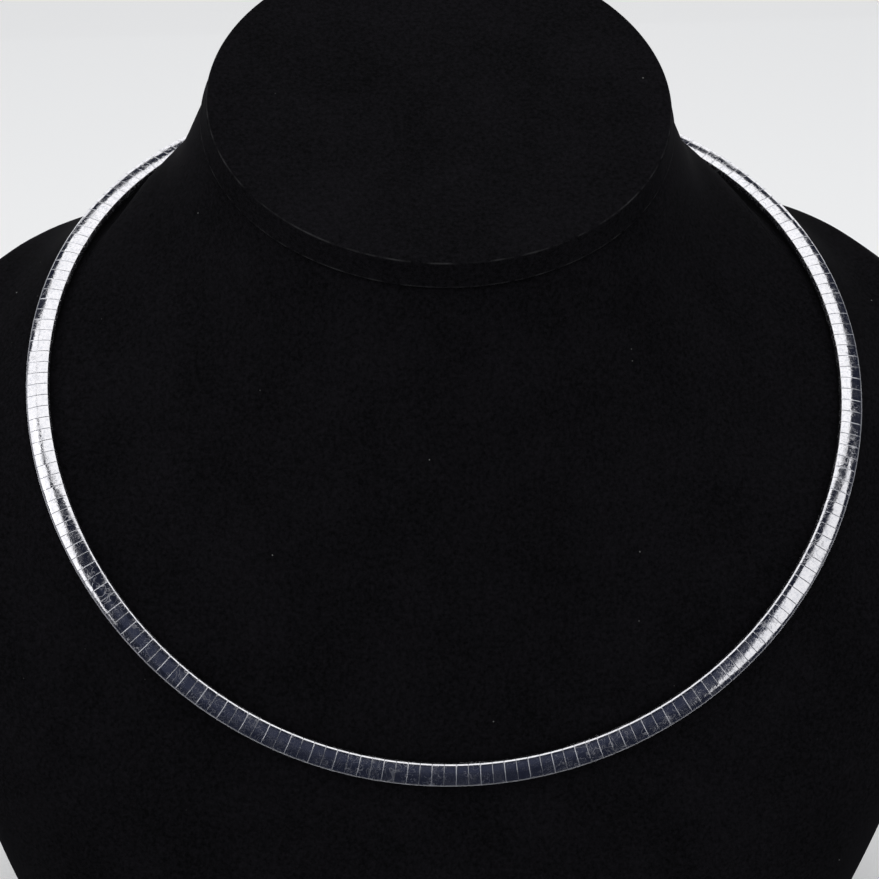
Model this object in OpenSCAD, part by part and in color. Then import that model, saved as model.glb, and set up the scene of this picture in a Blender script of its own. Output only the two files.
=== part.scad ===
// Omega necklace on a plain velvet neck bust.
// Millimetres, +Z up, the wearer's front faces -Y and the bust stands on Z = 0.

/* [Collar] */
// Half width of the necklace loop, to the middle of the chain, laid flat
loop_side_r = 73.5; // [73:0.1:74]
// Half depth of the same loop, laid flat
loop_front_r = 71.5; // [71:0.1:72]
// Height of the loop's middle above the base
loop_z = 127; // [126.5:0.1:127.5]
// Place of the loop's middle from the front to the back
loop_y = -7.5; // [-8:0.1:-7]
// Slope of the collar at the middle of its sides
side_slope = 37; // [36.5:0.1:37.5]
// How much steeper the collar is at the front than at its sides
front_steepening = 28.6; // [28:0.1:29.2]
// Outward lean of the plates at the front and the back
front_lean = 9; // [8:0.5:10]
// Outward lean of the plates at the sides
side_lean = 15; // [14:0.5:16]

/* [Plates] */
// Number of plates on each half of the chain
plates_per_half = 101; // [60:1:101]
// Width of the chain
plate_w = 4.25; // [4.15:0.05:4.3]
// Length of one plate along the chain
plate_len = 1.98; // [1.6:0.02:1.98]
// Height of the domed face above the underside
plate_h = 1.6; // [1.5:0.05:1.7]
// Thickness of the folded sheet metal
sheet_t = 0.33; // [0.25:0.01:0.35]
// Width of the open slot along the underside
slot_w = 1.7; // [1.2:0.1:2]
// How far the plates of a pair stand closer together
pair_shift = 0.03; // [0:0.01:0.04]

/* [Mesh core] */
// Width of the woven band inside the plates
core_w = 2.5; // [2:0.1:2.5]
// Thickness of the woven band
core_t = 0.4; // [0.3:0.05:0.4]

/* [Clasp] */
// Length of the clasp, its end sleeves included
clasp_len = 14; // [13.5:0.1:14.2]
// Width of the clasp's box
clasp_w = 4.4; // [4:0.1:4.6]
// Thickness of the clasp's box
clasp_t = 2.2; // [2:0.1:2.3]
// Length of each end sleeve
sleeve_len = 2.2; // [1.5:0.1:3]

/* [Bust] */
// Half width of the neck's flat top
top_side_r = 41.8; // [41:0.1:42.5]
// Half depth of the neck's flat top
top_front_r = 38.5; // [38:0.1:39]
// Forward tilt of the neck's flat top
top_tilt = 22.3; // [22:0.1:22.6]
// Height of the middle of the neck's top above the base
top_z = 172.7; // [172.3:0.1:173]
// Place of the middle of the neck's top from the front to the back
top_y = 13.9; // [13.5:0.1:14.3]
// Thickness of the cap that closes the neck
cap_t = 5.5; // [5:0.1:6]
// Spread of the cap from its upper to its lower edge
cap_flare = 1.2; // [0.5:0.1:1.5]

/* [Hidden] */

silver = [0.80, 0.81, 0.83];
mesh_grey = [0.62, 0.63, 0.65];
velvet = [0.07, 0.07, 0.08];

// The collar is a flat ring bent round a cylinder that lies across the chest.
bend_k = front_steepening / loop_side_r;
bend_r = 180 / PI / bend_k;
mean_r = (loop_side_r + loop_front_r) / 2;
ring_skew = (pow(loop_side_r, 2) - pow(loop_front_r, 2)) / 8 / pow(mean_r, 2);
loop_len = 2 * PI * mean_r;
// The collar's plane runs this far above the underside of the plates.
face_drop = 0.6;
end_gap = 0.22;
pitch = (loop_len / 2 - clasp_len / 2 - end_gap) / plates_per_half;

// Slope of the collar's surface at the distance s behind the loop's middle
function slope(s) = side_slope - bend_k * s;
function fall(s) = [loop_y + bend_r * (sin(side_slope) - sin(slope(s))),
                    loop_z + bend_r * (cos(slope(s)) - cos(side_slope))];

// Angle from the front, in degrees, at a distance along the chain
function at_arc(d) = let (a = d / mean_r * 180 / PI) a - ring_skew * 180 / PI * sin(2 * a);

// Point of the collar: angle from the front, offset outwards, lift off the surface
function collar(a, out, lift) =
    let (s = -(loop_front_r + out) * cos(a), yz = fall(s), n = slope(s))
    [(loop_side_r + out) * sin(a), yz[0] - lift * sin(n), yz[1] + lift * cos(n)];

function unit(v) = v / norm(v);

// Outward lean of the plates at an angle from the front
function lean(a) = side_lean + (front_lean - side_lean) * pow(cos(a), 2);

// Frame of the chain at an angle: outwards, off the face, and along
look_ahead = 0.05;
function chain_frame(a) =
    let (s = -loop_front_r * cos(a),
         up = [0, -sin(slope(s)), cos(slope(s))],
         ahead = unit(collar(a + look_ahead, 0, 0) - collar(a - look_ahead, 0, 0)),
         level = unit(cross(ahead, up)),
         outward = level * cos(lean(a)) - up * sin(lean(a)),
         face = level * sin(lean(a)) + up * cos(lean(a)))
    [outward, face, cross(outward, face)];

// Point of the chain's middle at a height above the underside of the plates
function chain_point(a, rise) = collar(a, 0, 0) + chain_frame(a)[1] * (rise - face_drop);

module on_chain(a) {
    f = chain_frame(a);
    p = chain_point(a, 0);
    multmatrix([[f[0][0], f[1][0], f[2][0], p[0]],
                [f[0][1], f[1][1], f[2][1], p[1]],
                [f[0][2], f[1][2], f[2][2], p[2]],
                [0, 0, 0, 1]])
        children();
}

// Outline of one plate: a domed face with its two edges folded under
half_w = plate_w / 2;
fold_round = [0.16, 0.3];
edge_in = 0.04;
edge_rise = 1.1;
shoulder_at = 0.62;
shoulder_drop = 0.11;
dome_half = [[half_w - fold_round[0], 0], [half_w, fold_round[1]], [half_w - edge_in, edge_rise],
             [half_w * shoulder_at, plate_h - shoulder_drop]];
fold_half = [[half_w * shoulder_at - edge_in * 2, plate_h - shoulder_drop - sheet_t],
             [half_w - edge_in * 1.5 - sheet_t, edge_rise - sheet_t / 2],
             [half_w - edge_in / 2 - sheet_t, sheet_t]];
slot_half = [[slot_w / 2, sheet_t], [slot_w / 2, 0]];
function mirrored(points) = [for (i = [len(points) - 1:-1:0]) [-points[i][0], points[i][1]]];
right_side = concat([[0, plate_h - sheet_t]], fold_half, slot_half, dome_half, [[0, plate_h]]);
plate_outline = concat(right_side, [for (p = mirrored(right_side)) if (p[0] < 0) p]);

module plate() {
    linear_extrude(plate_len, center = true) polygon(plate_outline);
}

module plate_row(side) {
    for (i = [0:plates_per_half - 1])
        let (nudge = (i % 2 == 0) ? pair_shift / 2 : -pair_shift / 2)
        on_chain(side * at_arc((i + 0.5) * pitch + nudge)) plate();
}

module plates_left() {
    color(silver) plate_row(-1);
}

module plates_right() {
    color(silver) plate_row(1);
}

// The woven band runs inside the plates, from one end of the clasp to the other.
core_steps = 120;
core_gap = 0.11;
core_rise = sheet_t + core_gap;
core_end = at_arc(loop_len / 2 - clasp_len / 2 - end_gap);
function core_ring(a) =
    let (f = chain_frame(a), p = chain_point(a, core_rise))
    [for (c = [[-1, 0], [-1, 1], [1, 1], [1, 0]]) p + f[0] * c[0] * core_w / 2 + f[1] * c[1] * core_t];

module mesh_core() {
    rings = [for (i = [0:core_steps]) core_ring(core_end * (2 * i / core_steps - 1))];
    color(mesh_grey) skin(rings);
}

// Joins closed rings of equal length into one solid, with triangles between them
module skin(rings) {
    n = len(rings[0]);
    last = len(rings) - 1;
    points = [for (r = rings, p = r) p];
    wall = [for (j = [0:last - 1], i = [0:n - 1])
        let (a = j * n + i, b = j * n + (i + 1) % n)
        each [[a, b + n, b], [a, a + n, b + n]]];
    start = [for (i = [0:n - 1]) i];
    finish = [for (i = [n - 1:-1:0]) last * n + i];
    polyhedron(points = points, faces = concat([start], wall, [finish]), convexity = 4);
}

// The clasp is a closed box with a sleeve at each end that takes the chain.
clasp_sink = 0.3;
sleeve_step = 0.2;
box_bevel = 0.4;
sleeve_bevel = 0.3;

module box_clasp() {
    color(silver) on_chain(180) {
        translate([0, -clasp_sink, 0])
            linear_extrude(clasp_len - 2 * sleeve_len, center = true)
                polygon(bevelled(clasp_w, clasp_t, box_bevel));
        translate([0, sleeve_step - clasp_sink, 0])
            linear_extrude(clasp_len, center = true)
                polygon(bevelled(clasp_w - 2 * sleeve_step, clasp_t - 2 * sleeve_step, sleeve_bevel));
    }
}

// Rectangle that stands on y = 0, with its corners cut off
function bevelled(w, h, c) = [[w / 2 - c, 0], [w / 2, c], [w / 2, h - c], [w / 2 - c, h],
                              [c - w / 2, h], [-w / 2, h - c], [-w / 2, c], [c - w / 2, 0]];

// The bust is lofted through rings. Each ring is given by three of its points.
// Columns: half width, front y, front z, side y, side z, back y, back z, squareness
neck_gap = 0.15;
neck_inset = 0.6;
neck_side_r = top_side_r + cap_flare - neck_inset;
neck_front_r = top_front_r + cap_flare - neck_inset;
function seat_row(out, front_drop, side_drop, back_drop) =
    let (f = collar(0, out, -front_drop), s = collar(90, out, -side_drop), b = collar(180, out, -back_drop))
    [s[0], f[1], f[2], s[1], s[2], b[1], b[2], 1];
function level_row(y, z, side_r, front_r, tilt) =
    [side_r, y - front_r * cos(tilt), z - front_r * sin(tilt), y, z,
     y + front_r * cos(tilt), z + front_r * sin(tilt), 1];
under_cap = cap_t + neck_gap;
bust_rows = [
    level_row(top_y + under_cap * sin(top_tilt), top_z - under_cap * cos(top_tilt),
              neck_side_r, neck_front_r, top_tilt),
    // neck
    [45.5, -24.5, 143, 17.5, 160, 52.3, 173, 1],
    [50, -30.5, 129, 15.5, 151, 53.9, 164, 1],
    [59.5, -39.5, 107, 8.5, 141.5, 55.2, 157, 1],
    // collar
    seat_row(-2.5, 0.6, 0.35, 0.6),
    seat_row(3, 1.45, 2.4, 3.4),
    // shoulders and chest
    [85, -58.5, 55.5, 0, 120, 61.5, 141, 1],
    [95, -62.5, 43, 3.5, 118.5, 63.5, 129, 0.97],
    [99.5, -64.8, 32, 5, 99.5, 64.8, 103, 0.93],
    [95, -64, 21, 3.5, 72, 63.5, 71, 0.88],
    // waist and base
    [86.5, -61.5, 11, 1.5, 40, 59, 38, 0.86],
    [77, -58.5, 3, 0.5, 9, 54, 9, 0.84],
    [75, -57, 1, -0.5, 1, 52, 1, 0.84],
    [74, -56, 0, -0.5, 0, 51, 0, 0.84]];

ring_points = 48;
steps_per_row = 3;

// Smooth curve through four values, at t between the middle two
function blend(p0, p1, p2, p3, t) =
    0.5 * (2 * p1 + (p2 - p0) * t + (2 * p0 - 5 * p1 + 4 * p2 - p3) * t * t
           + (3 * p1 - p0 - 3 * p2 + p3) * t * t * t);
function row_at(rows, u) =
    let (last = len(rows) - 1, i = min(floor(u), last - 1))
    blend(rows[max(i - 1, 0)], rows[i], rows[i + 1], rows[min(i + 2, last)], u - i);
function rounded(v, power) = sign(v) * pow(abs(v), power);

// Ring of points for one row, seen from above against the clock
function row_ring(r) = [for (i = [0:ring_points - 1])
    let (a = 360 * i / ring_points, c = rounded(cos(a), r[7]))
    [r[0] * rounded(sin(a), r[7]),
     r[3] + (r[1] - r[5]) / 2 * c + ((r[1] + r[5]) / 2 - r[3]) * c * c,
     r[4] + (r[2] - r[6]) / 2 * c + ((r[2] + r[6]) / 2 - r[4]) * c * c]];

module bust_body() {
    spans = len(bust_rows) - 1;
    rings = [for (i = [spans * steps_per_row:-1:0]) row_ring(row_at(bust_rows, i / steps_per_row))];
    color(velvet) skin(rings);
}

// Columns: share of the cap's thickness below its top, growth of its radius
cap_rows = [[1, cap_flare - 0.7], [0.9, cap_flare], [0.2, 0.2], [0.06, -0.2], [0, -1.2]];

module neck_cap() {
    rings = [for (c = cap_rows)
        let (d = c[0] * cap_t)
        row_ring(level_row(top_y + d * sin(top_tilt), top_z - d * cos(top_tilt),
                           top_side_r + c[1], top_front_r + c[1], top_tilt))];
    color(velvet) skin(rings);
}

plates_left();
plates_right();
mesh_core();
box_clasp();
neck_cap();
bust_body();
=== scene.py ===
"""Omega necklace on a plain velvet neck bust: the finished looks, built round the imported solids.

Every length is in metres, in the frame of the solids: +Z up, the front faces -Y, the bust
stands on Z = 0. The chain follows a flat ring that is bent round a cylinder lying across the
chest, so its plates are placed from the same few sizes as the solids.
"""

import logging
import math
import random
from dataclasses import dataclass, field
from enum import Enum
from typing import Iterable, Sequence

import bmesh
import bpy
from mathutils import Matrix, Vector


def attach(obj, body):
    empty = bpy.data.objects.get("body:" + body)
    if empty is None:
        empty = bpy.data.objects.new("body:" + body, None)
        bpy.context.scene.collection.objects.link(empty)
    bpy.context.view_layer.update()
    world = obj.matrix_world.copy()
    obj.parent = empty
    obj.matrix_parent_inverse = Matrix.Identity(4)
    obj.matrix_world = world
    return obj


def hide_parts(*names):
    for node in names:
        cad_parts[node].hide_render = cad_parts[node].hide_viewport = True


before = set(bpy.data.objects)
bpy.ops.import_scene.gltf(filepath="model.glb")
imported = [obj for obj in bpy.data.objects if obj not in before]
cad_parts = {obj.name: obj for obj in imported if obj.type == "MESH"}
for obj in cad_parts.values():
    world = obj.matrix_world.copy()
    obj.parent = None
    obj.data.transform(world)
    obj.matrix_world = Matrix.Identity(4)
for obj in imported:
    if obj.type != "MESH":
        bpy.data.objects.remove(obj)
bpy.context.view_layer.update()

MM = 0.001
SAME = 1e-7  # points nearer than this are one
NOISE_MEAN = 0.5
LAMP_FACTOR = 4  # watts that give a square metre of lamp a radiance of one
ROOT = "root"
END_WEAR = "end_wear"  # vertex layer: how worn the metal is
PILE_WEAR = "rubbed"  # vertex layer: how rubbed the velvet is
LOG = logging.getLogger("omega_necklace")


class Slot(Enum):
    """Material slots of the record."""

    SILVER = "silver"
    VELVET = "velvet"


class Half(Enum):
    """Halves of the chain; the value is the sign of X."""

    LEFT = -1
    RIGHT = 1


# Small helpers for meshes and nodes


def linear(hex_colour: str) -> tuple[float, float, float, float]:
    """Turns an sRGB hex colour into linear light.

    Args:
        hex_colour: six hex digits, with or without a leading mark.

    Returns:
        Red, green, blue and an alpha of one.
    """
    digits = hex_colour.lstrip("#")
    values = [int(digits[i:i + 2], 16) / 255 for i in (0, 2, 4)]
    red, green, blue = [v / 12.92 if v <= 0.04045 else ((v + 0.055) / 1.055) ** 2.4 for v in values]
    return red, green, blue, 1.0


def add_node(
    tree: bpy.types.NodeTree,
    kind: str,
    settings: dict[str, object] | None = None,
    inputs: dict[str | int, object] | None = None,
) -> bpy.types.Node:
    """Adds one node to a tree, with its settings and its inputs.

    Args:
        tree: the node tree that takes the node.
        kind: Blender's name for the node's type.
        settings: properties of the node, by name.
        inputs: values, or output sockets to link, by the input's name or number.

    Returns:
        The new node.
    """
    node = tree.nodes.new(kind)
    for name, value in (settings or {}).items():
        setattr(node, name, value)
    for key, value in (inputs or {}).items():
        if isinstance(value, bpy.types.NodeSocket):
            tree.links.new(value, node.inputs[key])
        else:
            node.inputs[key].default_value = value
    return node


def new_material(name: str) -> tuple[bpy.types.Material, bpy.types.NodeTree]:
    """Makes an empty node material.

    Args:
        name: the material's name.

    Returns:
        The material and its cleared node tree.
    """
    material = bpy.data.materials.new(name)
    material.use_nodes = True
    material.node_tree.nodes.clear()
    return material, material.node_tree


def extruded(
    bm: bmesh.types.BMesh,
    edges: Sequence[bmesh.types.BMEdge],
) -> tuple[set[bmesh.types.BMVert], list[bmesh.types.BMEdge]]:
    """Extrudes a row of edges; the new row still lies on the old one.

    Args:
        bm: the bmesh that holds the edges.
        edges: the row of edges.

    Returns:
        The vertices and the edges of the new row.
    """
    made = bmesh.ops.extrude_edge_only(bm, edges=edges)["geom"]
    verts = {g for g in made if isinstance(g, bmesh.types.BMVert)}
    return verts, [g for g in made if isinstance(g, bmesh.types.BMEdge) and verts.issuperset(g.verts)]


def object_from(bm: bmesh.types.BMesh, name: str, material: bpy.types.Material) -> bpy.types.Object:
    """Turns a bmesh into an object at the origin and frees it.

    Args:
        bm: the finished bmesh, in the frame of the solids.
        name: the name for the object and its mesh.
        material: the finish of every face.

    Returns:
        The linked object.
    """
    mesh = bpy.data.meshes.new(name)
    bm.to_mesh(mesh)
    bm.free()
    mesh.materials.append(material)
    obj = bpy.data.objects.new(name, mesh)
    bpy.context.scene.collection.objects.link(obj)
    return obj


def seat(obj: bpy.types.Object, nodes: Sequence[str]) -> bpy.types.Object:
    """Makes a piece part of the object: it rides on the one body and stands for solids.

    Args:
        obj: the finished piece.
        nodes: the solids that it stands for.

    Returns:
        The same piece.
    """
    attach(obj, ROOT)
    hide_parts(*nodes)
    LOG.info("%s: %d faces, stands for %s", obj.name, len(obj.data.polygons), ", ".join(nodes))
    return obj


# Finishes


@dataclass(frozen=True)
class PolishedSilver:
    """Sterling silver, pressed, tumbled and polished, with fine handling scratches.

    The eye sees a near mirror with a slight blue cast under a faint mist, crossed by curly
    hairline scratches, with paler matt lines where each plate rubs on the next one.
    """

    name: str = "polished_sterling_silver"
    face_hex: str = "#F5F4F7"
    dull_hex: str = "#D0D2DA"
    worn_hex: str = "#E2E4EC"
    roughness: float = 0.08
    hazy_roughness: float = 0.18
    scratch_roughness: float = 0.28
    worn_roughness: float = 0.8
    misty_metallic: float = 0.985
    worn_metallic: float = 0.5
    scratch_matt: float = 0.032
    curl_mm: tuple[float, ...] = (1.2, 2.3)
    curl_shift: tuple[float, float, float] = (0.31, 0.17, 0.53)  # to a fresh part of the noise
    curl_twist: float = 1.4
    run_per_curl: float = 2.4
    haze_mm: float = 1.8
    film_mm: float = 0.5
    ripple_mm: float = 1.6
    ripple_share: float = 3.0
    grain_mm: float = 0.35  # a polish's own grain is too fine to show, so this is coarser
    scratch_depth: float = 0.3
    relief: float = 0.3
    relief_mm: float = 0.03
    # Where on a noise's scale each effect starts and is full. Real scratches are too fine to show,
    # so their lines are drawn several times as wide
    line_span: tuple[float, float] = (0.024, 0.006)
    run_span: tuple[float, float] = (0.46, 0.6)
    haze_span: tuple[float, float] = (0.42, 0.64)
    mist_span: tuple[float, float] = (0.42, 0.66)
    film_span: tuple[float, float] = (0.46, 0.74)

    def hairlines(self, tree: bpy.types.NodeTree, place: bpy.types.NodeSocket) -> bpy.types.NodeSocket:
        """Draws thin curly lines where a smooth noise crosses its mean, broken into short runs.

        Args:
            tree: the material's node tree.
            place: the point on the object.

        Returns:
            One on a scratch, nought beside it.
        """
        total = None
        for number, size in enumerate(self.curl_mm):
            moved = add_node(tree, "ShaderNodeVectorMath", {"operation": "ADD"}, {
                0: place, 1: (self.curl_shift[0] * number, *self.curl_shift[1:])}).outputs[0]
            noise = add_node(tree, "ShaderNodeTexNoise", inputs={
                "Vector": moved, "Scale": 1 / (size * MM), "Detail": 1.0,
                "Distortion": self.curl_twist}).outputs["Fac"]
            away = add_node(tree, "ShaderNodeMath", {"operation": "SUBTRACT"}, {
                0: noise, 1: NOISE_MEAN}).outputs[0]
            near = add_node(tree, "ShaderNodeMath", {"operation": "ABSOLUTE"}, {0: away}).outputs[0]
            line = add_node(tree, "ShaderNodeMapRange", inputs={
                "Value": near, "From Min": self.line_span[0],
                "From Max": self.line_span[1]}).outputs["Result"]
            patch = add_node(tree, "ShaderNodeTexNoise", inputs={
                "Vector": moved, "Scale": 1 / (self.run_per_curl * size * MM),
                "Detail": 2.0}).outputs["Fac"]
            run = add_node(tree, "ShaderNodeMapRange", inputs={
                "Value": patch, "From Min": self.run_span[0],
                "From Max": self.run_span[1]}).outputs["Result"]
            line = add_node(tree, "ShaderNodeMath", {"operation": "MULTIPLY"}, {0: line, 1: run}).outputs[0]
            total = line if total is None else add_node(tree, "ShaderNodeMath", {"operation": "MAXIMUM"}, {
                0: total, 1: line}).outputs[0]
        return total

    def dents(
        self,
        tree: bpy.types.NodeTree,
        place: bpy.types.NodeSocket,
        hair: bpy.types.NodeSocket,
    ) -> bpy.types.NodeSocket:
        """Bends the surface a little: tumbled ripples, fine grain and the scratches' grooves.

        Args:
            tree: the material's node tree.
            place: the point on the object.
            hair: the scratches.

        Returns:
            The bent normal.
        """
        ripple = add_node(tree, "ShaderNodeTexNoise", inputs={
            "Vector": place, "Scale": 1 / (self.ripple_mm * MM), "Detail": 1.0}).outputs["Fac"]
        grain = add_node(tree, "ShaderNodeTexNoise", inputs={
            "Vector": place, "Scale": 1 / (self.grain_mm * MM), "Detail": 2.0}).outputs["Fac"]
        waves = add_node(tree, "ShaderNodeMath", {"operation": "MULTIPLY_ADD"}, {
            0: ripple, 1: self.ripple_share, 2: grain}).outputs[0]
        height = add_node(tree, "ShaderNodeMath", {"operation": "MULTIPLY_ADD"}, {
            0: hair, 1: -self.scratch_depth, 2: waves}).outputs[0]
        return add_node(tree, "ShaderNodeBump", inputs={
            "Height": height, "Strength": self.relief, "Distance": self.relief_mm * MM}).outputs["Normal"]

    def make(self) -> bpy.types.Material:
        """Builds the node material.

        Returns:
            The material.
        """
        material, tree = new_material(self.name)
        place = add_node(tree, "ShaderNodeTexCoord").outputs["Object"]
        wear = add_node(tree, "ShaderNodeAttribute", {"attribute_name": END_WEAR}).outputs["Fac"]
        hair = self.hairlines(tree, place)
        smudge = add_node(tree, "ShaderNodeTexNoise", inputs={
            "Vector": place, "Scale": 1 / (self.haze_mm * MM), "Detail": 5.0,
            "Roughness": 0.65}).outputs["Fac"]
        film = add_node(tree, "ShaderNodeTexNoise", inputs={
            "Vector": place, "Scale": 1 / (self.film_mm * MM), "Detail": 4.0,
            "Roughness": 0.7}).outputs["Fac"]
        dull = add_node(tree, "ShaderNodeMapRange", inputs={
            "Value": film, "From Min": self.film_span[0],
            "From Max": self.film_span[1]}).outputs["Result"]
        face = add_node(tree, "ShaderNodeMix", {"data_type": "RGBA"}, {
            "Factor": dull, "A": linear(self.face_hex), "B": linear(self.dull_hex)}).outputs["Result"]
        colour = add_node(tree, "ShaderNodeMix", {"data_type": "RGBA"}, {
            "Factor": wear, "A": face, "B": linear(self.worn_hex)}).outputs["Result"]
        hazy = add_node(tree, "ShaderNodeMapRange", inputs={
            "Value": smudge, "From Min": self.haze_span[0], "From Max": self.haze_span[1],
            "To Min": self.roughness, "To Max": self.hazy_roughness}).outputs["Result"]
        scratched = add_node(tree, "ShaderNodeMath", {"operation": "MULTIPLY_ADD"}, {
            0: hair, 1: self.scratch_roughness, 2: hazy}).outputs[0]
        rough = add_node(tree, "ShaderNodeMix", {"data_type": "FLOAT"}, {
            "Factor": wear, "A": scratched, "B": self.worn_roughness}).outputs["Result"]
        misty = add_node(tree, "ShaderNodeMapRange", inputs={
            "Value": smudge, "From Min": self.mist_span[0], "From Max": self.mist_span[1],
            "To Min": 1.0, "To Max": self.misty_metallic}).outputs["Result"]
        crossed = add_node(tree, "ShaderNodeMath", {"operation": "MULTIPLY_ADD"}, {
            0: hair, 1: -self.scratch_matt, 2: misty}).outputs[0]
        metallic = add_node(tree, "ShaderNodeMix", {"data_type": "FLOAT"}, {
            "Factor": wear, "A": crossed, "B": self.worn_metallic}).outputs["Result"]
        shader = add_node(tree, "ShaderNodeBsdfPrincipled", inputs={
            "Base Color": colour, "Metallic": metallic, "Roughness": rough,
            "Normal": self.dents(tree, place, hair)})
        add_node(tree, "ShaderNodeOutputMaterial", inputs={"Surface": shader.outputs["BSDF"]})
        return material


@dataclass(frozen=True)
class WovenWire:
    """Silver wire woven to a flat band: the core inside the plates.

    The eye sees a grey, finely ribbed metal in the seams and along the open underside; shade is painted into
    the grooves between its wires.
    """

    name: str = "woven_silver_wire"
    light_hex: str = "#C9CBD1"
    # painted shade: the colour that the weave's grooves darken to
    groove_shade_hex: str = "#4A4C52"
    roughness: float = 0.38
    wire_mm: float = 0.22  # about twice a real wire, which is too fine to show
    bands_per_unit: float = 3.2  # how many bands Blender's wave draws in a unit at a scale of one
    slant: float = 0.8
    relief: float = 0.8
    relief_mm: float = 0.06

    def make(self) -> bpy.types.Material:
        """Builds the node material.

        Returns:
            The material.
        """
        material, tree = new_material(self.name)
        place = add_node(tree, "ShaderNodeTexCoord").outputs["Object"]
        ribs = []
        for turn in (self.slant, -self.slant):
            turned = add_node(tree, "ShaderNodeMapping", inputs={
                "Vector": place, "Rotation": (0, turn, turn)})
            wave = add_node(tree, "ShaderNodeTexWave", {"wave_profile": "SIN"}, {
                "Vector": turned.outputs["Vector"],
                "Scale": 1 / (self.wire_mm * self.bands_per_unit * MM),
                "Distortion": 0.4, "Detail": 1.0})
            ribs.append(wave.outputs["Fac"])
        weave = add_node(tree, "ShaderNodeMath", {"operation": "MAXIMUM"}, {
            0: ribs[0], 1: ribs[1]}).outputs[0]
        # The colour follows the weave's height, so its grooves hold painted shade and its crests the wire's
        # own colour
        colour = add_node(tree, "ShaderNodeMix", {"data_type": "RGBA"}, {
            "Factor": weave, "A": linear(self.groove_shade_hex), "B": linear(self.light_hex)}).outputs["Result"]
        bump = add_node(tree, "ShaderNodeBump", inputs={
            "Height": weave, "Strength": self.relief, "Distance": self.relief_mm * MM}).outputs["Normal"]
        shader = add_node(tree, "ShaderNodeBsdfPrincipled", inputs={
            "Base Color": colour, "Metallic": 1.0, "Roughness": self.roughness, "Normal": bump})
        add_node(tree, "ShaderNodeOutputMaterial", inputs={"Surface": shader.outputs["BSDF"]})
        return material


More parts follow.
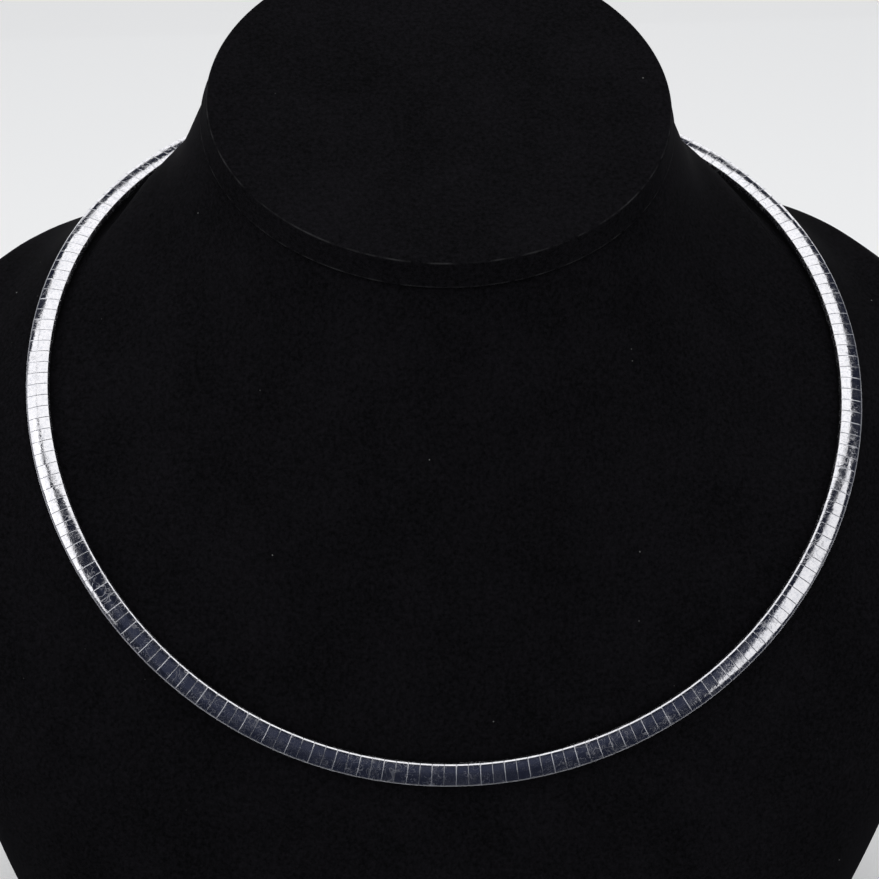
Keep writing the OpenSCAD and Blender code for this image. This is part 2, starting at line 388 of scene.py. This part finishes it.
@dataclass(frozen=True)
class BlackVelvet:
    """Short pile cotton velvet, dyed black and glued over the bust.

    The eye sees an almost black cloth whose pile lightens where it is seen edge on, a fine
    mottle where the pile lies differently, a few specks of lint and paler, rubbed edges.
    """

    name: str = "black_cotton_velvet"
    deep_hex: str = "#040405"
    raised_hex: str = "#0F0E11"
    rubbed_hex: str = "#29292A"
    lint_hex: str = "#8E8E8C"
    sheen_hex: str = "#C8C8DC"
    sheen: float = 0.012
    sheen_roughness: float = 0.4
    roughness: float = 0.95
    gloss: float = 0.04
    pile_mm: float = 0.35
    coarser: float = 2.0  # the pile is too fine to show, so it is drawn twice as coarse
    patch_mm: float = 14.0
    patch_share: float = 0.35
    thread_mm: float = 3.0
    lint_mm: float = 5.5
    lint_share: float = 0.6
    relief: float = 0.5
    relief_mm: float = 0.12
    # Where on a noise's scale each effect starts and is full
    mottle_span: tuple[float, float] = (0.48, 0.9)
    fray_span: tuple[float, float] = (0.4, 0.7)
    speck_span: tuple[float, float] = (0.036, 0.016)
    choice_span: tuple[float, float] = (0.62, 1.0)

    def lint(self, tree: bpy.types.NodeTree, place: bpy.types.NodeSocket) -> bpy.types.NodeSocket:
        """Scatters specks of lint, one to a cell, and keeps a part of them.

        Args:
            tree: the material's node tree.
            place: the point on the object.

        Returns:
            How much of the lint's colour shows.
        """
        cells = add_node(tree, "ShaderNodeTexVoronoi", inputs={
            "Vector": place, "Scale": 1 / (self.lint_mm * MM)})
        dot = add_node(tree, "ShaderNodeMapRange", inputs={
            "Value": cells.outputs["Distance"], "From Min": self.speck_span[0],
            "From Max": self.speck_span[1]}).outputs["Result"]
        red = add_node(tree, "ShaderNodeSeparateColor", inputs={
            "Color": cells.outputs["Color"]}).outputs["Red"]
        chosen = add_node(tree, "ShaderNodeMapRange", inputs={
            "Value": red, "From Min": self.choice_span[0], "From Max": self.choice_span[1],
            "To Max": self.lint_share}).outputs["Result"]
        return add_node(tree, "ShaderNodeMath", {"operation": "MULTIPLY"}, {0: dot, 1: chosen}).outputs[0]

    def make(self) -> bpy.types.Material:
        """Builds the node material.

        Returns:
            The material.
        """
        material, tree = new_material(self.name)
        place = add_node(tree, "ShaderNodeTexCoord").outputs["Object"]
        rub = add_node(tree, "ShaderNodeAttribute", {"attribute_name": PILE_WEAR}).outputs["Fac"]
        pile = add_node(tree, "ShaderNodeTexNoise", inputs={
            "Vector": place, "Scale": 1 / (self.pile_mm * self.coarser * MM), "Detail": 3.0,
            "Roughness": 0.7}).outputs["Fac"]
        patch = add_node(tree, "ShaderNodeTexNoise", inputs={
            "Vector": place, "Scale": 1 / (self.patch_mm * MM), "Detail": 4.0,
            "Roughness": 0.55}).outputs["Fac"]
        mottle = add_node(tree, "ShaderNodeMath", {"operation": "MULTIPLY_ADD"}, {
            0: patch, 1: self.patch_share, 2: pile}).outputs[0]
        lift = add_node(tree, "ShaderNodeMapRange", inputs={
            "Value": mottle, "From Min": self.mottle_span[0],
            "From Max": self.mottle_span[1]}).outputs["Result"]
        cloth = add_node(tree, "ShaderNodeMix", {"data_type": "RGBA"}, {
            "Factor": lift, "A": linear(self.deep_hex), "B": linear(self.raised_hex)}).outputs["Result"]
        thread = add_node(tree, "ShaderNodeTexNoise", inputs={
            "Vector": place, "Scale": 1 / (self.thread_mm * MM), "Detail": 3.0}).outputs["Fac"]
        broken = add_node(tree, "ShaderNodeMapRange", inputs={
            "Value": thread, "From Min": self.fray_span[0], "From Max": self.fray_span[1]}).outputs["Result"]
        frayed = add_node(tree, "ShaderNodeMath", {"operation": "MULTIPLY"}, {0: rub, 1: broken}).outputs[0]
        rubbed = add_node(tree, "ShaderNodeMix", {"data_type": "RGBA"}, {
            "Factor": frayed, "A": cloth, "B": linear(self.rubbed_hex)}).outputs["Result"]
        colour = add_node(tree, "ShaderNodeMix", {"data_type": "RGBA"}, {
            "Factor": self.lint(tree, place), "A": rubbed, "B": linear(self.lint_hex)}).outputs["Result"]
        bump = add_node(tree, "ShaderNodeBump", inputs={
            "Height": pile, "Strength": self.relief, "Distance": self.relief_mm * MM}).outputs["Normal"]
        shader = add_node(tree, "ShaderNodeBsdfPrincipled", inputs={
            "Base Color": colour, "Roughness": self.roughness, "Specular IOR Level": self.gloss,
            "Normal": bump, "Sheen Weight": self.sheen, "Sheen Roughness": self.sheen_roughness,
            "Sheen Tint": linear(self.sheen_hex)})
        add_node(tree, "ShaderNodeOutputMaterial", inputs={"Surface": shader.outputs["BSDF"]})
        return material


@dataclass(frozen=True)
class PalePaper:
    """Matt pale paper under the bust. The eye sees it plain."""

    name: str = "pale_matt_paper"
    sheet_hex: str = "#E8E8E8"
    roughness: float = 0.9
    gloss: float = 0.1

    def make(self) -> bpy.types.Material:
        """Builds the node material.

        Returns:
            The material.
        """
        material, tree = new_material(self.name)
        shader = add_node(tree, "ShaderNodeBsdfPrincipled", inputs={
            "Base Color": linear(self.sheet_hex), "Roughness": self.roughness,
            "Specular IOR Level": self.gloss})
        add_node(tree, "ShaderNodeOutputMaterial", inputs={"Surface": shader.outputs["BSDF"]})
        return material


# The collar's shape, shared by the plates and the clasp


@dataclass(frozen=True)
class CollarCurve:
    """The flat ring of the chain, bent round a cylinder that lies across the chest."""

    side_r: float = 73.5 * MM
    front_r: float = 71.5 * MM
    middle_y: float = -7.5 * MM
    middle_z: float = 127 * MM
    side_slope: float = math.radians(37)
    front_steepening: float = math.radians(28.6)
    front_lean: float = math.radians(9)
    side_lean: float = math.radians(15)
    underside_drop: float = 0.6 * MM
    probe: float = 0.001  # small angle between the two points that give the chain's direction

    @property
    def middle(self) -> Vector:
        """Middle of the ring."""
        return Vector((0, self.middle_y, self.middle_z))

    @property
    def bend(self) -> float:
        """Change of slope along the chest, in radians a metre."""
        return self.front_steepening / self.side_r

    @property
    def mean_r(self) -> float:
        """Mean radius of the ring."""
        return (self.side_r + self.front_r) / 2

    @property
    def length(self) -> float:
        """Length round the middle of the chain."""
        return 2 * math.pi * self.mean_r

    def slope(self, s: float) -> float:
        """Slope of the surface at a distance behind the ring's middle."""
        return self.side_slope - self.bend * s

    def angle_at(self, distance: float) -> float:
        """Turns a distance along the chain into an angle.

        Args:
            distance: distance from the front, along the middle of the chain.

        Returns:
            The angle from the front, in radians.
        """
        turned = distance / self.mean_r
        skew = (self.side_r ** 2 - self.front_r ** 2) / 8 / self.mean_r ** 2
        return turned - skew * math.sin(2 * turned)

    def lean(self, angle: float) -> float:
        """Outward lean of the plates at an angle from the front."""
        return self.side_lean + (self.front_lean - self.side_lean) * math.cos(angle) ** 2

    def point(self, angle: float) -> Vector:
        """Finds a point on the middle of the chain.

        Args:
            angle: angle from the front, in radians.

        Returns:
            The point.
        """
        slope = self.slope(-self.front_r * math.cos(angle))
        y = self.middle_y + (math.sin(self.side_slope) - math.sin(slope)) / self.bend
        z = self.middle_z + (math.cos(slope) - math.cos(self.side_slope)) / self.bend
        return Vector((self.side_r * math.sin(angle), y, z))

    def matrix(self, angle: float) -> Matrix:
        """Place of a plate: X outwards, Y off the face, Z along the chain.

        Args:
            angle: angle from the front, in radians.

        Returns:
            The 4x4 matrix from the plate's own axes to the frame of the solids.
        """
        slope = self.slope(-self.front_r * math.cos(angle))
        up = Vector((0, -math.sin(slope), math.cos(slope)))
        ahead = (self.point(angle + self.probe) - self.point(angle - self.probe)).normalized()
        level = ahead.cross(up).normalized()
        lean = self.lean(angle)
        outward = level * math.cos(lean) - up * math.sin(lean)
        face = level * math.sin(lean) + up * math.cos(lean)
        turn = Matrix((outward, face, outward.cross(face))).transposed().to_4x4()
        return Matrix.Translation(self.point(angle) - face * self.underside_drop) @ turn


# The necklace


@dataclass
class OmegaChain:
    """The chain: two rows of domed plates that meet at the front.

    Every second plate is turned end for end, so strong and faint seams take turns.
    """

    curve: CollarCurve
    finish: bpy.types.Material
    clasp_len: float
    per_half: int = 101
    end_gap: float = 0.22 * MM
    plate_len: float = 2.15 * MM
    pair_shift: float = 0.015 * MM
    wall: float = 0.3 * MM
    # Half the outline across the chain, from the slot's edge to beside the crown
    outline_mm: tuple[tuple[float, float], ...] = (
        (0.85, 0.0), (1.9, 0.0), (2.12, 0.3), (2.1, 1.13), (1.74, 1.39), (1.0, 1.535))
    crown: float = 1.6 * MM
    middle_height: float = 0.75 * MM  # of the point inside the outline that insets move towards
    # Chamfers and wear of a plate's two ends
    strong_slope: float = 0.07 * MM
    faint_slope: float = 0.045 * MM
    strong_drop: float = 0.028 * MM
    faint_drop: float = 0.014 * MM
    strong_wear: float = 0.56
    faint_wear: float = 0.3
    inner_wear: float = 0.6
    # Outline points that rub: the face, and the outer rim along its whole length
    face_points: range = range(4, 9)
    rim_point: int = 3
    rim_wear: float = 0.62
    side_share: float = 0.12
    # Random tilt of each plate, about an axis a little under its face
    roll: float = math.radians(0.5)
    pitch: float = math.radians(0.25)
    tilt_height: float = 0.8 * MM
    sharp_angle: float = math.radians(12)
    lip_sides: int = 8  # the slot's lips close with faces of no more sides than this
    seed: int = 7

    @property
    def spacing(self) -> float:
        """Distance from plate to plate along the chain."""
        return (self.curve.length / 2 - self.clasp_len / 2 - self.end_gap) / self.per_half

    def section(self, inset: float) -> list[Vector]:
        """Outline of the plate across the chain, from slot edge to slot edge.

        Args:
            inset: how far the outline lies inside the plate's outer skin.

        Returns:
            Points in the plate's own axes, at its middle.
        """
        middle = Vector((0, self.middle_height, 0))
        half = [Vector((x * MM, y * MM, 0)) for x, y in self.outline_mm]
        points = half + [Vector((0, self.crown, 0))] + [Vector((-p.x, p.y, 0)) for p in reversed(half)]
        moved = []
        for i, p in enumerate(points):
            before, after = points[max(i - 1, 0)], points[min(i + 1, len(points) - 1)]
            run = (after - before).normalized()
            inward = Vector((-run.y, run.x, 0))
            if inward.dot(middle - p) < 0:
                inward = -inward
            moved.append(p + inward * inset)
        return moved

    def wear_at(self, number: int, worn: float) -> float:
        """Wear of one outline point: the face rubs, the sides hardly, the outer rim all along."""
        rubbed = worn if number in self.face_points else worn * self.side_share
        return max(rubbed, self.rim_wear) if number == self.rim_point else rubbed

    def extrude_to(
        self,
        bm: bmesh.types.BMesh,
        edges: Sequence[bmesh.types.BMEdge],
        inset: float,
        z: float,
        worn: float,
    ) -> list[bmesh.types.BMEdge]:
        """Extrudes a row of edges across the plate and sets the new row on its outline.

        Args:
            bm: the bmesh that holds the edges.
            edges: the row of edges.
            inset: how far the new row lies inside the plate's outer skin.
            z: the new row's place along the chain.
            worn: the wear of the new row.

        Returns:
            The new row of edges.
        """
        wear = bm.verts.layers.float[END_WEAR]
        fresh, row = extruded(bm, edges)
        ends = [v for v in fresh if sum(v in e.verts for e in row) == 1]
        ordered, used = [max(ends, key=lambda v: v.co.x)], set()
        while len(ordered) < len(fresh):
            edge = next(e for e in row if e not in used and ordered[-1] in e.verts)
            used.add(edge)
            ordered.append(edge.other_vert(ordered[-1]))
        for i, (v, p) in enumerate(zip(ordered, self.section(inset))):
            v.co = Vector((p.x, p.y, z))
            v[wear] = self.wear_at(i, worn)
        return row

    def plate(self) -> bpy.types.Mesh:
        """Builds one hollow plate with chamfered ends.

        Returns:
            The mesh, in the plate's own axes.
        """
        bm = bmesh.new()
        wear = bm.verts.layers.float.new(END_WEAR)
        half = self.plate_len / 2
        start = [bm.verts.new(p + Vector((0, 0, -half))) for p in self.section(self.strong_drop)]
        for i, v in enumerate(start):
            v[wear] = self.wear_at(i, self.strong_wear)
        near = [bm.edges.new(pair) for pair in zip(start[:-1], start[1:])]
        far = near
        for inset, z, worn in (
            (0.0, -half + self.strong_slope, 0.0),
            (0.0, half - self.faint_slope, 0.0),
            (self.faint_drop, half, self.faint_wear),
        ):
            far = self.extrude_to(bm, far, inset, z, worn)
        far_inner = self.extrude_to(bm, far, self.wall, half, self.inner_wear)
        near_inner = self.extrude_to(bm, near, self.wall, -half, self.inner_wear)
        bmesh.ops.bridge_loops(bm, edges=far_inner + near_inner)
        bmesh.ops.remove_doubles(bm, verts=bm.verts, dist=SAME)
        bmesh.ops.holes_fill(bm, edges=[e for e in bm.edges if e.is_boundary], sides=self.lip_sides)
        bmesh.ops.recalc_face_normals(bm, faces=bm.faces)
        for f in bm.faces:
            f.smooth = True
        for e in bm.edges:
            across = abs((e.verts[0].co - e.verts[1].co).z) < SAME
            e.smooth = not (across and e.calc_face_angle(0) > self.sharp_angle)
        for v in bm.verts:
            v.co.z *= 1 + v.co.x / self.curve.mean_r
        mesh = bpy.data.meshes.new("one_plate")
        bm.to_mesh(mesh)
        bm.free()
        return mesh

    def half_row(self, half: Half, one: bpy.types.Mesh, dice: random.Random) -> bpy.types.Object:
        """Places the plates of one half, from the front to the clasp.

        Args:
            half: which half.
            one: the mesh of one plate.
            dice: gives the plates' small tilts.

        Returns:
            The half as one piece.
        """
        end_for_end = Matrix.Scale(-1, 4, (0, 0, 1))
        lift = Matrix.Translation((0, self.tilt_height, 0))
        bm = bmesh.new()
        for i in range(self.per_half):
            even = i % 2 == 0
            nudge = self.pair_shift / 2 * (1 if even else -1)
            angle = half.value * self.curve.angle_at((i + 0.5) * self.spacing + nudge)
            tilt = Matrix.Rotation(dice.gauss(0, self.roll), 4, "Z") @ Matrix.Rotation(
                dice.gauss(0, self.pitch), 4, "X")
            place = self.curve.matrix(angle) @ lift @ tilt @ lift.inverted()
            if even != (half is Half.RIGHT):
                place = place @ end_for_end
            known = len(bm.verts)
            bm.from_mesh(one)
            bm.verts.ensure_lookup_table()
            bmesh.ops.transform(bm, matrix=place, verts=bm.verts[known:])
        bmesh.ops.recalc_face_normals(bm, faces=bm.faces)
        side = half.name.lower()
        return seat(object_from(bm, f"chain_plates_{side}", self.finish), [f"plates_{side}"])

    def build(self) -> list[bpy.types.Object]:
        """Builds both halves from one plate."""
        one, dice = self.plate(), random.Random(self.seed)
        return [self.half_row(half, one, dice) for half in Half]


@dataclass
class BoxClasp:
    """The closed clasp behind the neck: a box with a sleeve at each end."""

    curve: CollarCurve
    finish: bpy.types.Material
    length: float = 14 * MM
    width: float = 4.4 * MM
    depth: float = 2.2 * MM
    sleeve: float = 2.2 * MM
    sleeve_step: float = 0.2 * MM
    sink: float = 0.3 * MM
    box_round: float = 0.35 * MM
    sleeve_round: float = 0.25 * MM
    round_steps: int = 3

    def build(self) -> bpy.types.Object:
        """Builds the box and its sleeves with rounded edges.

        Returns:
            The clasp as one piece.
        """
        bm = bmesh.new()
        blocks = [(self.width, self.depth, self.length - 2 * self.sleeve, 0.0, self.box_round)]
        step = 2 * self.sleeve_step
        for end in (-1, 1):
            middle = end * (self.length - self.sleeve) / 2
            blocks.append((self.width - step, self.depth - step, self.sleeve, middle, self.sleeve_round))
        for width, depth, run, middle, round_r in blocks:
            cube = bmesh.ops.create_cube(bm, size=1.0)["verts"]
            stretch = Matrix.Diagonal((width, depth, run, 1))
            move = Matrix.Translation((0, self.depth / 2 - self.sink, middle))
            bmesh.ops.transform(bm, matrix=move @ stretch, verts=cube)
            edges = list({e for v in cube for e in v.link_edges})
            bmesh.ops.bevel(bm, geom=edges, offset=round_r, affect="EDGES", segments=self.round_steps,
                            profile=0.5, material=-1)
        bmesh.ops.transform(bm, matrix=self.curve.matrix(math.pi), verts=bm.verts)
        bmesh.ops.recalc_face_normals(bm, faces=bm.faces)
        for f in bm.faces:
            f.smooth = True
        return seat(object_from(bm, "clasp_box", self.finish), ["box_clasp"])


@dataclass
class MeshCore:
    """The woven band inside the plates: the solid itself, dressed."""

    finish: bpy.types.Material
    node: str = "mesh_core"

    def build(self) -> bpy.types.Object:
        """Gives the solid its finish.

        Returns:
            The solid's object.
        """
        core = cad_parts[self.node]
        core.data.materials.clear()
        core.data.materials.append(self.finish)
        LOG.info("%s: %d faces, the solid itself", self.node, len(core.data.polygons))
        return core


# The bust


@dataclass
class NeckBust:
    """The plain bust: one velvet covered form with a flat cap on the neck."""

    finish: bpy.types.Material
    cap_middle: Vector = field(default_factory=lambda: Vector((0, 13.9 * MM, 172.7 * MM)))
    cap_side_r: float = 41.8 * MM
    cap_front_r: float = 38.5 * MM
    cap_tilt: float = math.radians(22.3)
    cap_segments: int = 128
    # The cap's outline: how far outside its edge, how far above its top and how rubbed. It starts
    # with the plug that fills the seam over the neck and ends on the top, which a flat face closes
    cap_profile_mm: tuple[tuple[float, float, float], ...] = (
        (-4.0, -6.2, 0.0), (-1.0, -6.2, 0.0), (-0.9, -5.5, 0.0), (0.7, -5.5, 0.0), (1.05, -5.3, 0.0),
        (1.12, -5.1, 1.0), (1.02, -4.9, 0.0), (0.75, -4.2, 0.0), (0.25, -1.3, 0.0), (0.15, -0.6, 0.0),
        (0.08, -0.3, 0.0), (-0.02, -0.12, 1.0), (-0.22, -0.03, 0.0), (-1.0, -0.04, 0.0),
        (-3.0, -0.03, 0.0), (-12.0, 0.0, 0.0), (-24.0, 0.0, 0.0))
    merge: float = 0.01 * MM
    quad_bend: float = math.radians(40)
    quad_skew: float = math.radians(60)
    fold_angle: float = math.radians(28)
    fold_crease: float = 0.85
    smooth_levels: int = 2

    def body(self) -> bpy.types.Object:
        """Smooths a merged copy of the bust's solid, and keeps its folds.

        Returns:
            The body as one piece.
        """
        bm = bmesh.new()
        bm.from_mesh(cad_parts["bust_body"].data)
        bmesh.ops.remove_doubles(bm, verts=bm.verts, dist=self.merge)
        bmesh.ops.join_triangles(bm, faces=bm.faces, angle_face_threshold=self.quad_bend,
                                 angle_shape_threshold=self.quad_skew)
        bmesh.ops.recalc_face_normals(bm, faces=bm.faces)
        crease = bm.edges.layers.float.new("crease_edge")
        for e in bm.edges:
            e[crease] = self.fold_crease if e.calc_face_angle(0) > self.fold_angle else 0.0
        for f in bm.faces:
            f.smooth = True
        obj = object_from(bm, "bust_velvet", self.finish)
        smooth = obj.modifiers.new("smooth", "SUBSURF")
        smooth.levels = smooth.render_levels = self.smooth_levels
        return seat(obj, ["bust_body"])

    def cap(self) -> bpy.types.Object:
        """Builds the neck's flat cap, with its upper and lower rim rubbed pale.

        Returns:
            The cap as one piece.
        """
        bm = bmesh.new()
        rub = bm.verts.layers.float.new(PILE_WEAR)
        ring = bmesh.ops.create_circle(bm, segments=self.cap_segments, radius=1.0)["verts"]
        edges = list({e for v in ring for e in v.link_edges})
        for i, (grow, rise, worn) in enumerate(self.cap_profile_mm):
            if i:
                ring, edges = extruded(bm, edges)
            side_r, front_r = self.cap_side_r + grow * MM, self.cap_front_r + grow * MM
            for v in ring:
                turn = Vector((v.co.x, v.co.y)).normalized()
                v.co = Vector((turn.x * side_r, turn.y * front_r, rise * MM))
                v[rub] = worn
        bmesh.ops.holes_fill(bm, edges=[e for e in bm.edges if e.is_boundary], sides=0)
        lean = Matrix.Translation(self.cap_middle) @ Matrix.Rotation(self.cap_tilt, 4, "X")
        bmesh.ops.transform(bm, matrix=lean, verts=bm.verts)
        bmesh.ops.recalc_face_normals(bm, faces=bm.faces)
        for f in bm.faces:
            f.smooth = len(f.verts) == 4  # all but the two flat ends
        return seat(object_from(bm, "cap_velvet", self.finish), ["neck_cap"])

    def build(self) -> list[bpy.types.Object]:
        """Builds both pieces."""
        return [self.body(), self.cap()]


# Floor, light and camera


@dataclass(frozen=True)
class SoftLight:
    """One rectangular soft light that faces a point."""

    name: str
    place: tuple[float, float, float]
    target: tuple[float, float, float]
    size: tuple[float, float]
    radiance: float
    colour: str = "#FFFFFF"
    on_cloth: bool = True

    def make(self) -> None:
        """Adds the light to the scene."""
        data = bpy.data.lights.new(self.name, "AREA")
        data.shape = "RECTANGLE"
        data.size, data.size_y = self.size
        data.energy = LAMP_FACTOR * self.radiance * self.size[0] * self.size[1]
        data.color = linear(self.colour)[:3]
        lamp = bpy.data.objects.new(self.name, data)
        aim = Vector(self.target) - Vector(self.place)
        turn = aim.to_track_quat("-Z", "Y").to_matrix().to_4x4()
        lamp.matrix_world = Matrix.Translation(self.place) @ turn
        lamp.visible_camera = False
        lamp.visible_diffuse = self.on_cloth
        bpy.context.scene.collection.objects.link(lamp)


@dataclass
class Studio:
    """A plain pale floor, soft lights and a dim room that the metal mirrors."""

    paper: bpy.types.Material
    curve: CollarCurve
    front_plates: tuple[float, float, float] = (0, -0.075, 0.065)
    azimuth: float = math.radians(-6.2)
    elevation: float = math.radians(30)
    roll: float = math.radians(1.0)
    distance: float = 608.8 * MM
    shift_right: float = 1.47 * MM
    shift_up: float = 10.53 * MM
    focal_px: float = 3370.0
    image_px: float = 879.0
    sensor_mm: float = 36.0
    clip: tuple[float, float] = (0.01, 100.0)
    floor_size: float = 24.0
    room_hex: str = "#1D202C"
    mist_hex: str = "#B8C2EC"
    backdrop_hex: str = "#E9EAEC"
    room_light: float = 0.9

    def camera(self) -> None:
        """Sets the camera at the photo's viewing angle and framing."""
        back = Vector((math.sin(self.azimuth) * math.cos(self.elevation),
                       -math.cos(self.azimuth) * math.cos(self.elevation), math.sin(self.elevation)))
        level = Vector((math.cos(self.azimuth), math.sin(self.azimuth), 0))
        upright = back.cross(level)
        right = math.cos(self.roll) * level + math.sin(self.roll) * upright
        up = back.cross(right)
        data = bpy.data.cameras.new("camera")
        data.sensor_width = self.sensor_mm
        data.lens = self.focal_px * self.sensor_mm / self.image_px
        data.clip_start, data.clip_end = self.clip
        camera = bpy.data.objects.new("camera", data)
        eye = self.curve.middle + back * self.distance - right * self.shift_right - up * self.shift_up
        turn = Matrix((right, up, back)).transposed().to_4x4()
        camera.matrix_world = Matrix.Translation(eye) @ turn
        bpy.context.scene.collection.objects.link(camera)
        bpy.context.scene.camera = camera

    def room(self) -> None:
        """The world: pale light all round, but dim where the metal mirrors it."""
        world = bpy.data.worlds.new("room")
        bpy.context.scene.world = world
        world.use_nodes = True
        tree = world.node_tree
        tree.nodes.clear()
        path = add_node(tree, "ShaderNodeLightPath")
        strength = add_node(tree, "ShaderNodeMapRange", inputs={
            "Value": path.outputs["Is Camera Ray"], "To Min": self.room_light,
            "To Max": 1.0}).outputs["Result"]
        pale = add_node(tree, "ShaderNodeBackground", inputs={
            "Color": linear(self.backdrop_hex), "Strength": strength})
        dim = add_node(tree, "ShaderNodeBackground", inputs={
            "Color": linear(self.room_hex), "Strength": 1.0})
        mixed = add_node(tree, "ShaderNodeMixShader", inputs={
            0: path.outputs["Is Glossy Ray"], 1: pale.outputs["Background"],
            2: dim.outputs["Background"]})
        add_node(tree, "ShaderNodeOutputWorld", inputs={"Surface": mixed.outputs["Shader"]})

    def floor(self) -> None:
        """Lays the floor, which the metal does not mirror."""
        bm = bmesh.new()
        bmesh.ops.create_grid(bm, x_segments=1, y_segments=1, size=self.floor_size / 2)
        floor = object_from(bm, "floor", self.paper)
        floor.visible_glossy = False

    def lights(self) -> None:
        """Adds the panels that the plates mirror; their edges part the bright and dark stretches.

        The last three leave the cloth alone: two very dim ones lighten the front plates, and one
        brightens the far plates beside the neck.
        """
        heart = tuple(self.curve.middle)
        front, mist = self.front_plates, self.mist_hex
        for light in (
            SoftLight("overhead", (0.045, 0.035, 0.53), (0.045, 0.035, 0), (0.69, 0.63), 0.82),
            SoftLight("left_front", (-0.41, -0.255, 0.305), (0, -0.18, 0.25), (0.27, 0.45), 0.88),
            SoftLight("left_rear", (-0.345, -0.015, 0.355), (0, -0.015, 0.28), (0.24, 0.36), 0.85),
            SoftLight("right_front", (0.30, -0.27, 0.19), heart, (0.27, 0.30), 0.7),
            SoftLight("front_mist_low", (0, -0.417, 0.176), front, (0.5, 0.29), 0.010, mist, on_cloth=False),
            SoftLight("front_mist_high", (0, -0.40, 0.21), front, (0.5, 0.22), 0.018, mist, on_cloth=False),
            SoftLight("back_panel", (0.07, 0.45, 0.20), (0.07, 0, 0.20), (0.70, 0.40), 0.8, on_cloth=False),
        ):
            light.make()

    def build(self) -> None:
        """Sets up everything round the object."""
        self.camera()
        self.room()
        self.floor()
        self.lights()
        bpy.context.scene.view_settings.view_transform = "Standard"


def main() -> None:
    """Builds the studio and every piece in order."""
    logging.basicConfig(level=logging.INFO, format="%(name)s: %(message)s")
    silver = PolishedSilver().make()
    velvet = BlackVelvet().make()
    curve = CollarCurve()
    clasp = BoxClasp(curve, silver)
    Studio(PalePaper().make(), curve).build()
    NeckBust(velvet).build()
    OmegaChain(curve, silver, clasp.length).build()
    clasp.build()
    MeshCore(WovenWire().make()).build()


if __name__ == "__main__":
    main()
